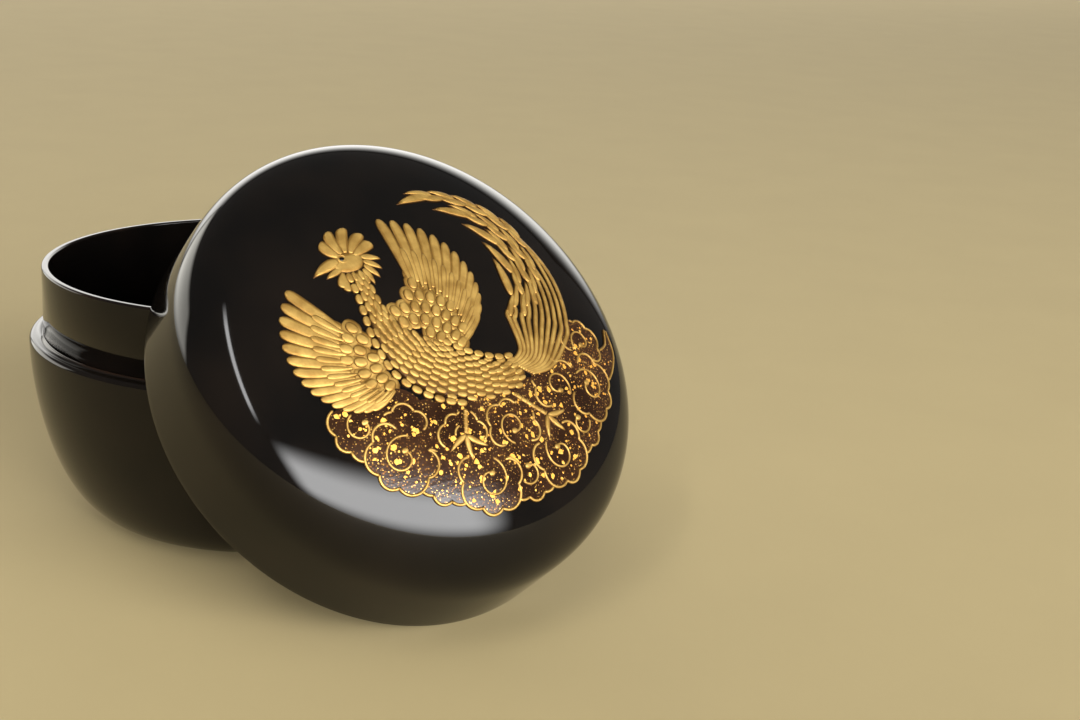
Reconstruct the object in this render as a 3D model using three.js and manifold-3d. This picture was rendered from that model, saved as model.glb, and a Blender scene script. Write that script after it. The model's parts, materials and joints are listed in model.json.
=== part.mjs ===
// A flat tea caddy (hira-natsume) for powdered tea, in turned wood and black lacquer.
// The body stands open. The lid leans on it, crown up, with its mouth against the rim.
// Millimetres, +Z up. The origin is the centre of the foot, on the table, and +X runs
// from the body towards the lid.
import * as THREE from "three";
import { mergeVertices } from "three/addons/utils/BufferGeometryUtils.js";
import Module from "manifold-3d";

const wasm = await Module();
wasm.setup();

// Driving dimensions.
const OUTER_RADIUS = 41;
const BODY_HEIGHT = 34;
const RIM_HEIGHT = 46.5;
const FOOT_RADIUS = 24;
const LID_HEIGHT = 28;
const SKIRT_HEIGHT = 10.5;
const LID_TILT = 47.57;
const LEAN_OFFSET = 37.3;

// Walls: a coat of lacquer outside, the turned wood, and a coat inside.
const OUTER_COAT = 0.5;
const INNER_COAT = 0.4;
const LAYER_GAP = 0.25;
const BODY_WALL = 3.4;
const LID_WALL = 2.25;
const COLLAR_RADIUS = 38.5;
const COLLAR_WALL = 1.3;
const COLLAR_SOCKET = 5.5;
const COLLAR_EDGE = 0.4;
const LEDGE_ROUND = 0.9;
const MOUTH_ROUND = 0.4;

// Superellipse powers: how squarely the belly and the crown turn.
const BELLY_POWERS = [2.35, 1.75];
const CROWN_POWERS = [2.4, 2.9];

// The raised gold picture on the crown.
const RELIEF_GAP = 0.2;
const RELIEF = 0.35;
const GROUND_RELIEF = 0.2;
const RELIEF_LIMIT = 37;
const PIECE_GAP = 0.3;
const CLOUD_LINE = 0.7;
const PICTURE_TURN = 90;

// How finely the round shapes are divided.
const SEGMENTS = 32;
const CURVE_STEPS = 8;
const CROWN_STEPS = 9;
const ARC_STEPS = 2;

const lacquer = { color: 0x14120f, roughness: 0.08, metalness: 0 };
const wood = { color: 0xb98d5a, roughness: 0.7, metalness: 0 };
const gold = { color: 0xbe913c, roughness: 0.35, metalness: 0.9 };
const cloud = { color: 0x3c1c12, roughness: 0.4, metalness: 0.1 };

function piece(name, geometry, finish) {
  const mesh = new THREE.Mesh(geometry, new THREE.MeshStandardMaterial(finish));
  mesh.name = name;
  return mesh;
}

// Turned shapes.

// A [radius, height] profile, spun round the Z axis.
function turned(profile) {
  const points = profile.map(([r, z]) => new THREE.Vector2(r, z));
  return new THREE.LatheGeometry(points, SEGMENTS).rotateX(Math.PI / 2);
}

// A quarter of a superellipse, moved inwards from the surface by inset.
function quarter(place, steps, inset) {
  const points = [];
  const tiny = 1e-4;
  for (let i = 0; i <= steps; i++) {
    const t = (i / steps) * (Math.PI / 2);
    const [r, z] = place(t);
    const [r0, z0] = place(Math.max(t - tiny, 0));
    const [r1, z1] = place(Math.min(t + tiny, Math.PI / 2));
    const length = Math.hypot(r1 - r0, z1 - z0);
    points.push([r - (inset * (z1 - z0)) / length, z + (inset * (r1 - r0)) / length]);
  }
  return points;
}

// From the edge of the flat foot up to the ledge.
function belly(inset) {
  const [across, up] = BELLY_POWERS;
  const rise = BODY_HEIGHT - LEDGE_ROUND;
  const spread = OUTER_RADIUS - FOOT_RADIUS;
  const place = (t) => [
    FOOT_RADIUS + spread * Math.sin(t) ** (2 / across),
    rise * (1 - Math.cos(t) ** (2 / up)),
  ];
  return quarter(place, CURVE_STEPS, inset);
}

// From the top of the skirt to the middle of the crown.
function crown(inset) {
  const [across, up] = CROWN_POWERS;
  const dome = LID_HEIGHT - SKIRT_HEIGHT;
  const place = (t) => [
    OUTER_RADIUS * Math.cos(t) ** (2 / across),
    SKIRT_HEIGHT + dome * Math.sin(t) ** (2 / up),
  ];
  const points = quarter(place, CROWN_STEPS, inset);
  points[CROWN_STEPS][0] = 0;
  return points;
}

// A rounded corner, from one angle to another in degrees.
function corner(r, z, radius, from, to) {
  const points = [];
  for (let i = 0; i <= ARC_STEPS; i++) {
    const angle = THREE.MathUtils.degToRad(from + ((to - from) * i) / ARC_STEPS);
    points.push([r + radius * Math.cos(angle), z + radius * Math.sin(angle)]);
  }
  return points;
}

// The part of a curve that stays below a height.
function below(curve, height) {
  const kept = curve.filter(([, z]) => z < height - 1e-6);
  const [r1, z1] = curve[kept.length];
  const [r0, z0] = kept[kept.length - 1];
  kept.push([r0 + ((r1 - r0) * (height - z0)) / (z1 - z0), height]);
  return kept;
}

// The body.

const collarSeat = COLLAR_RADIUS + LAYER_GAP;
const collarFoot = BODY_HEIGHT - COLLAR_SOCKET;
const bodyWoodOut = OUTER_COAT + LAYER_GAP;
const bodyWoodIn = BODY_WALL - INNER_COAT - LAYER_GAP;

// The coat runs from the foot, over the belly and the rounded edge, to the collar.
const bodyOuterCoat = [
  [0, 0],
  ...belly(0),
  ...corner(OUTER_RADIUS - LEDGE_ROUND, BODY_HEIGHT - LEDGE_ROUND, LEDGE_ROUND, 30, 90),
  [collarSeat, BODY_HEIGHT],
  [collarSeat, BODY_HEIGHT - OUTER_COAT],
  [OUTER_RADIUS - LEDGE_ROUND, BODY_HEIGHT - OUTER_COAT],
  ...belly(OUTER_COAT).reverse(),
  [0, OUTER_COAT],
];

// The wood has a rebate round its mouth, where the collar is let in.
const bodyWood = [
  [0, bodyWoodOut],
  ...belly(bodyWoodOut),
  [collarSeat, BODY_HEIGHT - LEDGE_ROUND],
  [collarSeat, collarFoot - LAYER_GAP],
  ...below(belly(bodyWoodIn), collarFoot - LAYER_GAP).reverse(),
  [0, bodyWoodIn],
];

const bodyInnerCoat = [
  [0, BODY_WALL - INNER_COAT],
  ...below(belly(BODY_WALL - INNER_COAT), collarFoot - LAYER_GAP),
  ...below(belly(BODY_WALL), collarFoot - LAYER_GAP).reverse(),
  [0, BODY_WALL],
];

const collarInside = COLLAR_RADIUS - COLLAR_WALL;
const rimCollar = [
  [collarInside, collarFoot],
  [COLLAR_RADIUS, collarFoot],
  ...corner(COLLAR_RADIUS - COLLAR_EDGE, RIM_HEIGHT - COLLAR_EDGE, COLLAR_EDGE, 0, 90),
  ...corner(collarInside + COLLAR_EDGE, RIM_HEIGHT - COLLAR_EDGE, COLLAR_EDGE, 90, 180),
  [collarInside, collarFoot],
];

const body = new THREE.Group();
body.add(
  piece("body_outer_lacquer", turned(bodyOuterCoat), lacquer),
  piece("body_wood", turned(bodyWood), wood),
  piece("body_inner_lacquer", turned(bodyInnerCoat), lacquer),
  piece("rim_collar", turned(rimCollar), lacquer),
);

// The lid, mouth down on its own origin.

const mouthRadius = OUTER_RADIUS - LID_WALL;
const lidWoodOut = OUTER_COAT + LAYER_GAP;
const lidWoodIn = LID_WALL - INNER_COAT - LAYER_GAP;

const lidOuterCoat = [
  [0, LID_HEIGHT - OUTER_COAT],
  ...crown(OUTER_COAT).reverse().slice(1),
  [OUTER_RADIUS - OUTER_COAT, OUTER_COAT],
  [mouthRadius, OUTER_COAT],
  [mouthRadius, 0],
  ...corner(OUTER_RADIUS - MOUTH_ROUND, MOUTH_ROUND, MOUTH_ROUND, -90, 0),
  ...crown(0),
];

function lidLayer(outside, inside) {
  return [
    [0, LID_HEIGHT - inside],
    ...crown(inside).reverse().slice(1),
    [OUTER_RADIUS - inside, lidWoodOut],
    [OUTER_RADIUS - outside, lidWoodOut],
    ...crown(outside),
  ];
}

const lid = new THREE.Group();
lid.add(
  piece("lid_outer_lacquer", turned(lidOuterCoat), lacquer),
  piece("lid_wood", turned(lidLayer(lidWoodOut, lidWoodIn)), wood),
  piece("lid_inner_lacquer", turned(lidLayer(LID_WALL - INNER_COAT, LID_WALL)), lacquer),
);

// The picture: shapes drawn flat, x to the right and y up, then laid on the crown.

function solid(geometry) {
  geometry.deleteAttribute("normal");
  geometry.deleteAttribute("uv");
  const merged = mergeVertices(geometry);
  return new wasm.Manifold(
    new wasm.Mesh({
      numProp: 3,
      vertProperties: merged.attributes.position.array,
      triVerts: new Uint32Array(merged.index.array),
    }),
  );
}

function geometryOf(manifold) {
  const mesh = manifold.getMesh();
  const geometry = new THREE.BufferGeometry();
  geometry.setAttribute("position", new THREE.BufferAttribute(mesh.vertProperties, 3));
  geometry.setIndex(new THREE.BufferAttribute(mesh.triVerts, 1));
  geometry.computeVertexNormals();
  return geometry;
}

// The thin layer over the crown that a relief of this thickness fills.
function crownLayer(thickness) {
  const inside = crown(-RELIEF_GAP);
  const outside = crown(-RELIEF_GAP - thickness);
  const first = inside.findIndex(([r]) => r < RELIEF_LIMIT);
  const profile = [
    ...inside.slice(first).reverse(),
    ...outside.slice(first),
  ];
  return solid(turned(profile));
}

const layers = { raised: crownLayer(RELIEF), ground: crownLayer(GROUND_RELIEF) };

// A flat outline, as a column that reaches through the crown.
function column(shape, segments) {
  const geometry = new THREE.ExtrudeGeometry(shape, {
    depth: LID_HEIGHT,
    bevelEnabled: false,
    curveSegments: segments,
  });
  return solid(geometry.translate(0, 0, SKIRT_HEIGHT));
}

function disc(x, y, radius) {
  return column(new THREE.Shape().absarc(x, y, radius, 0, 2 * Math.PI), 7);
}

// A feather: pointed at the tip, curving to its left by bend. Grown by a margin, it
// is wider all along and its sharp tip moves out by five times as much.
function feather(x, y, angle, length, width, bend, grow) {
  const turn = THREE.MathUtils.degToRad(angle);
  const reach = width + 2 * grow;
  const longer = 1 + (5 * grow) / length;
  const at = (along, side) => [
    x + along * Math.cos(turn) - side * Math.sin(turn),
    y + along * Math.sin(turn) + side * Math.cos(turn),
  ];
  const shape = new THREE.Shape();
  shape.moveTo(...at(0, -reach / 4));
  const tip = at(length * longer, bend * longer ** 2);
  shape.quadraticCurveTo(...at(length * 0.6, bend * 0.2 - reach), ...tip);
  shape.quadraticCurveTo(...at(length * 0.5, bend * 0.2 + reach), ...at(0, reach / 4));
  return column(shape, 4);
}

// A band along a smooth line, its width running from one end's to the other's, and
// grown all round by a margin.
function band(points, from, to, grow) {
  const line = new THREE.SplineCurve(points.map(([x, y]) => new THREE.Vector2(x, y)));
  const steps = 3 * (points.length - 1);
  const left = [];
  const right = [];
  for (let i = 0; i <= steps; i++) {
    const along = line.getTangent(i / steps);
    const past = grow * ((i === steps) - (i === 0));
    const middle = line.getPoint(i / steps).addScaledVector(along, past);
    const half = (from + ((to - from) * i) / steps) / 2 + grow;
    left.push(new THREE.Vector2(middle.x - along.y * half, middle.y + along.x * half));
    right.push(new THREE.Vector2(middle.x + along.y * half, middle.y - along.x * half));
  }
  return column(new THREE.Shape([...right, ...left.reverse()]), 1);
}

function joined(parts) {
  return parts.reduce((sum, part) => sum.add(part));
}

// The biggest piece of what is left after a cut.
function biggest(manifold) {
  const parts = manifold.decompose();
  return parts.reduce((best, part) => (part.volume() > best.volume() ? part : best));
}

// A fan of feathers from a root, from a first one to a last one, given as
// [angle, length], each curving by bend.
function fan(root, first, last, count, width, bend, grow) {
  const [x, y] = root;
  const feathers = [disc(x, y, width + grow)];
  for (let i = 0; i < count; i++) {
    const share = i / (count - 1);
    const angle = first[0] + (last[0] - first[0]) * share;
    const length = first[1] + (last[1] - first[1]) * share;
    feathers.push(feather(x, y, angle, length, width, bend, grow));
  }
  return joined(feathers);
}

// A leg and its three toes.
function leg(route, toes, grow) {
  const [x, y] = route[route.length - 1];
  return joined([
    band(route, 1.7, 1.1, grow),
    disc(x, y, 0.7 + grow),
    ...toes.map((angle) => feather(x, y, angle, 3.4, 0.7, 0.6, grow)),
  ]);
}

// Each of these draws one piece of the bird, grown all round by a margin.
const bird = {
  bird_head: (g) =>
    joined([
      disc(-14.3, 12.4, 2.7 + g),
      feather(-15.4, 12.6, 184, 6.6, 1.9, 0.8, g),
      feather(-14.4, 13.2, 124, 5.6, 1.5, -1, g),
      feather(-13.8, 13.2, 96, 5.8, 1.6, -1.2, g),
      feather(-13, 13, 66, 5.8, 1.6, -1.4, g),
      feather(-12.6, 12, 28, 5.2, 1.6, -1, g),
    ]),
  bird_neck: (g) =>
    band([[-13.6, 11.4], [-12.4, 8], [-12.8, 4.4], [-13.8, 0.6], [-12.8, -3.6]], 3.4, 9.6, g),
  bird_body: (g) =>
    joined([
      disc(-8.6, -6.2, 5.8 + g),
      band([[-13, -1.4], [-9.5, -5.2], [-4.5, -8.6], [2, -10.8], [9, -11.4]], 10, 4.4, g),
    ]),
  rear_wing: (g) => fan([-1.8, -4.6], [44, 16.5], [92, 25], 9, 2.7, 5.5, g),
  front_wing: (g) => fan([-14.6, -6.6], [144, 19.5], [240, 12], 9, 3, -3.4, g),
  left_leg: (g) => leg([[-4.2, -12], [-5.4, -14.2], [-6.2, -16.4]], [200, 256, 314], g),
  right_leg: (g) => leg([[4.4, -12.6], [6.6, -14.4], [9, -15.6]], [248, 308, 8], g),
};

// Five plumes sweep from the tail round the right side and over the top, each with
// tongues along its outer edge like a flame.
const PLUMES = 5;
const PLUME_STEPS = 6;
for (let i = 0; i < PLUMES; i++) {
  const reach = 10.6 + 2.2 * i;
  const sweep = 164 + 5 * i - 9 * Math.abs(i - 2);
  const at = (share, out) => {
    const angle = THREE.MathUtils.degToRad(-66 + 5 * i + sweep * share);
    return [6.6 + (reach + out) * Math.cos(angle), 4.6 + (reach + out) * Math.sin(angle)];
  };
  const route = [[8.6, -11.4]];
  for (let step = 0; step <= PLUME_STEPS; step++) route.push(at(step / PLUME_STEPS, 0));
  const heading = (share) => 24 + 5 * i + sweep * share;
  bird["tail_plume_" + (i + 1)] = (g) =>
    joined([
      band(route, 1.4, 2.2, g),
      feather(...at(1, 0), heading(1) + 6, 4.6, 2, -0.6, g),
      ...[0.55, 0.72, 0.88].map((share) =>
        feather(...at(share, 0.2), heading(share) - 4, 4.4, 1.5, 0.6, g),
      ),
    ]);
}

// A cloud bank: round lobes along the lower edge of the crown, a core behind them,
// and a tongue at the right-hand end.
const RIM_LOBES = 11;
const lobes = [];
for (let i = 0; i < RIM_LOBES; i++) {
  const angle = THREE.MathUtils.degToRad(208 + 13.2 * i);
  lobes.push([26.6 * Math.cos(angle), 26.6 * Math.sin(angle), 4.4 + 0.8 * (i % 2)]);
}
for (let i = 0; i < 6; i++) {
  const angle = THREE.MathUtils.degToRad(216 + 21 * i);
  lobes.push([19 * Math.cos(angle), 19 * Math.sin(angle), 6.4]);
}

function cloudBank(grow) {
  return joined([
    ...lobes.map(([x, y, radius]) => disc(x, y, radius + grow)),
    feather(22.5, -12.5, 34, 12.4, 3.6, 1.4, grow),
  ]);
}

// A curl that starts on the outline of every second lobe and winds inwards.
function scroll(x, y, radius, grow) {
  const start = Math.atan2(y, x);
  const route = [];
  for (let step = 0; step <= 7; step++) {
    const angle = start + step * 0.95;
    const out = radius - CLOUD_LINE / 2 - step * 0.45;
    route.push([x + out * Math.cos(angle), y + out * Math.sin(angle)]);
  }
  return band(route, CLOUD_LINE, CLOUD_LINE, grow);
}

const curled = lobes.filter((lobe, i) => i < RIM_LOBES && i % 2 === 1);
const scrolls = (grow) => joined(curled.map((lobe) => scroll(...lobe, grow)));

const picture = new THREE.Group();
picture.rotation.z = THREE.MathUtils.degToRad(PICTURE_TURN);
lid.add(picture);

// Front pieces are laid first, and each later one is cut clear of those before it.
const laid = [];
function lay(name, draw, layer, finish) {
  let shape = draw(0);
  for (const other of laid) shape = shape.subtract(other(PIECE_GAP));
  laid.push(draw);
  picture.add(piece(name, geometryOf(biggest(shape.intersect(layer))), finish));
}

const order = ["bird_head", "bird_neck", "bird_body", "rear_wing", "front_wing"];
for (let i = 1; i <= PLUMES; i++) order.push("tail_plume_" + i);
order.push("left_leg", "right_leg");
for (const name of order) lay(name, bird[name], layers.raised, gold);

const cloudLines = (grow) =>
  cloudBank(grow).subtract(cloudBank(-CLOUD_LINE - grow)).add(scrolls(grow));
lay("cloud_lines", cloudLines, layers.raised, gold);
lay("cloud_ground", () => cloudBank(-CLOUD_LINE), layers.ground, cloud);

// The lid leans towards +X with its mouth's lowest edge on the table.
const tilt = THREE.MathUtils.degToRad(LID_TILT);
const edge = OUTER_RADIUS - MOUTH_ROUND;
lid.rotation.y = tilt;
lid.position.set(
  LEAN_OFFSET,
  0,
  edge * Math.sin(tilt) - MOUTH_ROUND * Math.cos(tilt) + MOUTH_ROUND,
);

const caddy = new THREE.Group();
caddy.add(body, lid);

export default caddy;
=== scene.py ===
import json
import math
import random

import bpy
import numpy as np
from mathutils import Matrix, Vector

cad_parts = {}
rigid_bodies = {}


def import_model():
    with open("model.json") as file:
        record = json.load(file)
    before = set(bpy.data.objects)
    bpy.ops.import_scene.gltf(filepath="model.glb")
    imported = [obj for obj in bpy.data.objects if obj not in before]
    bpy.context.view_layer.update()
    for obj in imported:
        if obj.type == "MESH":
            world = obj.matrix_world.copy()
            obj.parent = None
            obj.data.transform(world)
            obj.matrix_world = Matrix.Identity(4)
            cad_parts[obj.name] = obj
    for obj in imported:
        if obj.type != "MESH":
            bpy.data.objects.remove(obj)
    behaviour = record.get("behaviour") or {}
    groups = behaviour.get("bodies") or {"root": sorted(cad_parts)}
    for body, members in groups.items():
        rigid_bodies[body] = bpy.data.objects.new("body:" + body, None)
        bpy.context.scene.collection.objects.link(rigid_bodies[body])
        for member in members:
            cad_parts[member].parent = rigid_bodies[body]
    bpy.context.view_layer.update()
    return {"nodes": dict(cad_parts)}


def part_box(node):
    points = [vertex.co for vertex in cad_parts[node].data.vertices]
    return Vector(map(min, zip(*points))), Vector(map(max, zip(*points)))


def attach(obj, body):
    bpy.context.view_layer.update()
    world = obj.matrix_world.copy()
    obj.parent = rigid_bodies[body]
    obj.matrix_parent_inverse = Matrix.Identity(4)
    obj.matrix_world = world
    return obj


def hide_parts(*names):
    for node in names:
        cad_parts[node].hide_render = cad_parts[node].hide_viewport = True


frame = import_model()


# ---------------------------------------------------------------------------
# Wooden cores of the body and the lid.
# Each is turned from one block of seasoned horse chestnut, thin enough to be light
# in the hand. The lacquer hides them, so they show only the cut of the lathe tool.
# ---------------------------------------------------------------------------

def new_material(name):
    """A material with an empty tree, its Principled shader and that shader's output."""
    material = bpy.data.materials.new(name)
    material.use_nodes = True
    tree = material.node_tree
    tree.nodes.clear()
    shader = tree.nodes.new("ShaderNodeBsdfPrincipled")
    output = tree.nodes.new("ShaderNodeOutputMaterial")
    tree.links.new(shader.outputs["BSDF"], output.inputs["Surface"])
    return material, tree, shader


def node(tree, kind, settings=(), **inputs):
    """A node with its settings and its inputs; underscores in a name stand for spaces."""
    made = tree.nodes.new(kind)
    for name, value in dict(settings).items():
        setattr(made, name, value)
    for name, value in inputs.items():
        plug(tree, made, name.replace("_", " "), value)
    return made


def plug(tree, made, key, value):
    """Links a socket, or sets a plain value, on one input of a node."""
    if isinstance(value, bpy.types.NodeSocket):
        tree.links.new(value, made.inputs[key])
    else:
        made.inputs[key].default_value = value


def ramp(tree, factor, stops):
    """A colour ramp through (place, colour) stops."""
    made = node(tree, "ShaderNodeValToRGB", Fac=factor)
    elements = made.color_ramp.elements
    elements[0].position, elements[0].color = stops[0][0], (*stops[0][1], 1)
    elements[1].position, elements[1].color = stops[-1][0], (*stops[-1][1], 1)
    for place, colour in stops[1:-1]:
        elements.new(place).color = (*colour, 1)
    return made.outputs["Color"]


def spread(tree, value, low, high, to_low, to_high):
    """A value taken from one range to another, held inside it."""
    made = node(tree, "ShaderNodeMapRange", Value=value)
    for name, number in zip(("From Min", "From Max", "To Min", "To Max"), (low, high, to_low, to_high)):
        made.inputs[name].default_value = number
    return made.outputs["Result"]


def bump(tree, shader, height, distance, strength=1.0, under=None):
    """Raises the surface by a height pattern, over any bump given under it."""
    made = node(tree, "ShaderNodeBump", Height=height, Distance=distance, Strength=strength)
    if under is not None:
        tree.links.new(under, made.inputs["Normal"])
    tree.links.new(made.outputs["Normal"], shader.inputs["Normal"])
    return made.outputs["Normal"]


def wood_material():
    material, tree, shader = new_material("turned_chestnut")
    place = node(tree, "ShaderNodeTexCoord").outputs["Object"]
    stretched = node(tree, "ShaderNodeMapping", Vector=place, Scale=(1, 1, 0.12)).outputs["Vector"]
    grain = node(tree, "ShaderNodeTexNoise", Vector=stretched, Scale=260.0, Detail=8.0, Distortion=0.6)
    rings = node(
        tree, "ShaderNodeTexWave", {"wave_type": "RINGS", "rings_direction": "X"},
        Vector=stretched, Scale=90.0, Distortion=5.0, Detail=3.0,
    )
    mixed = node(tree, "ShaderNodeMath", {"operation": "MULTIPLY"})
    tree.links.new(grain.outputs["Fac"], mixed.inputs[0])
    tree.links.new(rings.outputs["Fac"], mixed.inputs[1])
    pale, brown = (0.52, 0.33, 0.16), (0.24, 0.12, 0.05)
    tint = ramp(tree, mixed.outputs[0], [(0.05, brown), (0.55, pale)])
    tree.links.new(tint, shader.inputs["Base Color"])
    tree.links.new(spread(tree, grain.outputs["Fac"], 0.3, 0.7, 0.6, 0.8), shader.inputs["Roughness"])
    lathe_lines = node(
        tree, "ShaderNodeTexWave", {"wave_type": "BANDS", "bands_direction": "Z"},
        Vector=place, Scale=420.0,
    )
    bump(tree, shader, lathe_lines.outputs["Fac"], 0.00004)
    return material


chestnut = wood_material()
for core in ("body_wood", "lid_wood"):
    mesh = frame["nodes"][core].data
    mesh.materials.clear()
    mesh.materials.append(chestnut)


# ---------------------------------------------------------------------------
# Black lacquer over the outside of the body.
# Many thin coats of black urushi on the turned belly, each rubbed down with charcoal,
# and the last polished to a mirror. Where it turns over an edge it wears thin and brown.
# ---------------------------------------------------------------------------

MM = 0.001
OUTER_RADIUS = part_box("body_outer_lacquer")[1].x
BODY_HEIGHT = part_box("body_outer_lacquer")[1].z
FOOT_RADIUS = 24 * MM
OUTER_COAT = 0.5 * MM
LEDGE_ROUND = 0.9 * MM
LEDGE_FILLET = 0.25 * MM
BELLY_POWERS = (2.35, 1.75)
COLLAR_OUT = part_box("rim_collar")[1].x
STRAIGHT_EDGE = 1.5 * MM
JOINT_GAP = 0.02 * MM
TURNED_SEGMENTS = 208
WEAR = 0.6 * MM


class Number:
    """A number inside a node tree: sums with it add Math nodes to the tree."""

    def __init__(self, tree, socket):
        self.tree = tree
        self.socket = socket

    def math(self, operation, *others):
        made = self.tree.nodes.new("ShaderNodeMath")
        made.operation = operation
        for slot, value in enumerate((self, *others)):
            if isinstance(value, Number):
                self.tree.links.new(value.socket, made.inputs[slot])
            else:
                made.inputs[slot].default_value = value
        return Number(self.tree, made.outputs[0])

    def __add__(self, other):
        return self.math("ADD", other)

    def __sub__(self, other):
        return self.math("SUBTRACT", other)

    def __rsub__(self, other):
        return self.math("MULTIPLY", -1).math("ADD", other)

    def __mul__(self, other):
        return self.math("MULTIPLY", other)

    def __truediv__(self, other):
        return self.math("DIVIDE", other)

    def __pow__(self, other):
        return self.math("POWER", other)

    def __rtruediv__(self, other):
        return self.inverse() * other

    def inverse(self):
        return self.math("POWER", -1)


def geometry_tree(name, inputs):
    """A Geometry Nodes tree with a geometry in and out, and other inputs by name and kind."""
    tree = bpy.data.node_groups.new(name, "GeometryNodeTree")
    face = tree.interface
    face.new_socket("Geometry", in_out="INPUT", socket_type="NodeSocketGeometry")
    face.new_socket("Geometry", in_out="OUTPUT", socket_type="NodeSocketGeometry")
    for label, kind in inputs.items():
        face.new_socket(label, in_out="INPUT", socket_type="NodeSocket" + kind)
    given = tree.nodes.new("NodeGroupInput").outputs
    result = tree.nodes.new("NodeGroupOutput").inputs["Geometry"]
    return tree, given, result


def grown(name, mesh, tree, values):
    """Runs a tree on a mesh with these inputs, and keeps the outcome as a plain object."""
    guide = bpy.data.objects.new(name + "_guide", mesh)
    bpy.context.scene.collection.objects.link(guide)
    modifier = guide.modifiers.new("shape", "NODES")
    modifier.node_group = tree
    for item in tree.interface.items_tree:
        if item.in_out == "INPUT" and item.name in values:
            modifier[item.identifier] = values[item.name]
    guide.update_tag()
    bpy.context.view_layer.update()
    evaluated = guide.evaluated_get(bpy.context.evaluated_depsgraph_get())
    plain = bpy.data.meshes.new_from_object(evaluated)
    plain.name = name
    bpy.data.objects.remove(guide)
    made = bpy.data.objects.new(name, plain)
    bpy.context.scene.collection.objects.link(made)
    return made


def turning_tree():
    """Spins a profile, whose vertices are in order in the XZ plane, round the Z axis."""
    tree, given, result = geometry_tree(
        "turned_on_the_lathe", {"Points": "Int", "Segments": "Int", "Material": "Material"},
    )
    around = Number(tree, given["Segments"]) + 1
    grid = node(tree, "GeometryNodeMeshGrid", Vertices_X=given["Points"], Vertices_Y=around.socket)
    index = Number(tree, node(tree, "GeometryNodeInputIndex").outputs[0])
    place = (index / around).math("FLOOR")
    turn = index.math("MODULO", around) / Number(tree, given["Segments"]) * (2 * math.pi)

    def sampled(kind, value):
        made = node(tree, "GeometryNodeSampleIndex", {"data_type": kind})
        tree.links.new(given["Geometry"], made.inputs["Geometry"])
        tree.links.new(value, made.inputs["Value"])
        tree.links.new(place.socket, made.inputs["Index"])
        return made.outputs["Value"]

    point = sampled("FLOAT_VECTOR", node(tree, "GeometryNodeInputPosition").outputs[0])
    worn = node(tree, "GeometryNodeInputNamedAttribute", {"data_type": "FLOAT"}, Name="worn")
    spun = node(
        tree, "ShaderNodeVectorRotate", {"rotation_type": "Z_AXIS"}, Vector=point, Angle=turn.socket,
    )
    kept = node(
        tree, "GeometryNodeStoreNamedAttribute", {"data_type": "FLOAT", "domain": "POINT"},
        Geometry=grid.outputs["Mesh"], Name="worn", Value=sampled("FLOAT", worn.outputs["Attribute"]),
    )
    moved = node(
        tree, "GeometryNodeSetPosition", Geometry=kept.outputs["Geometry"], Position=spun.outputs["Vector"],
    )
    closed = node(
        tree, "GeometryNodeMergeByDistance", Geometry=moved.outputs["Geometry"], Distance=0.001 * MM,
    )
    smooth = node(tree, "GeometryNodeSetShadeSmooth", Geometry=closed.outputs["Geometry"])
    real = node(tree, "GeometryNodeRealizeInstances", Geometry=smooth.outputs["Geometry"])
    coated = node(
        tree, "GeometryNodeSetMaterial", Geometry=real.outputs["Geometry"], Material=given["Material"],
    )
    tree.links.new(coated.outputs["Geometry"], result)
    return tree


turning = turning_tree()


def turned(name, profile, material, placed=None):
    """A turned piece from its [radius, height] profile, worn where the profile bends sharply."""
    mesh = bpy.data.meshes.new(name + "_profile")
    mesh.from_pydata([(r, 0, z) for r, z in profile], [(i, i + 1) for i in range(len(profile) - 1)], [])
    worn = mesh.attributes.new("worn", "FLOAT", "POINT")
    for i in range(1, len(profile) - 1):
        before = Vector(profile[i]) - Vector(profile[i - 1])
        after = Vector(profile[i + 1]) - Vector(profile[i])
        if before.length > 0 and after.length > 0:
            bend = before.angle(after) / (before.length + after.length)
            worn.data[i].value = min(bend * WEAR, 1.0)
    values = {"Points": len(profile), "Segments": TURNED_SEGMENTS, "Material": material}
    made = grown(name, mesh, turning, values)
    if signed_volume(made.data) < 0:
        made.data.flip_normals()
    if placed is not None:
        made.data.transform(placed)
    return made


def signed_volume(mesh):
    """The volume inside a closed mesh, which is negative where its faces point inwards."""
    mesh.calc_loop_triangles()
    corners = np.array([v.co for v in mesh.vertices])
    triangles = np.array([t.vertices for t in mesh.loop_triangles])
    a, b, c = corners[triangles[:, 0]], corners[triangles[:, 1]], corners[triangles[:, 2]]
    return float((a * np.cross(b, c)).sum() / 6)


def quarter(place, steps, inset):
    """A quarter of a superellipse, moved in from the surface by an inset."""
    points = []
    for i in range(steps + 1):
        t = i / steps * math.pi / 2
        r, z = place(t)
        r0, z0 = place(max(t - 1e-4, 0))
        r1, z1 = place(min(t + 1e-4, math.pi / 2))
        length = math.hypot(r1 - r0, z1 - z0)
        points.append((r - inset * (z1 - z0) / length, z + inset * (r1 - r0) / length))
    return points


def belly(inset, steps=56):
    """The belly from the edge of the flat foot up to the ledge."""
    across, up = BELLY_POWERS

    def place(t):
        out = max(math.sin(t), 0) ** (2 / across)
        rise = 1 - max(math.cos(t), 0) ** (2 / up)
        return FOOT_RADIUS + (OUTER_RADIUS - FOOT_RADIUS) * out, (BODY_HEIGHT - LEDGE_ROUND) * rise

    return quarter(place, steps, inset)


def corner(r, z, radius, first, last, steps=7):
    """A rounded corner about a centre, between two angles in degrees."""
    angles = [math.radians(first + (last - first) * i / steps) for i in range(steps + 1)]
    return [(r + radius * math.cos(a), z + radius * math.sin(a)) for a in angles]


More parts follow.
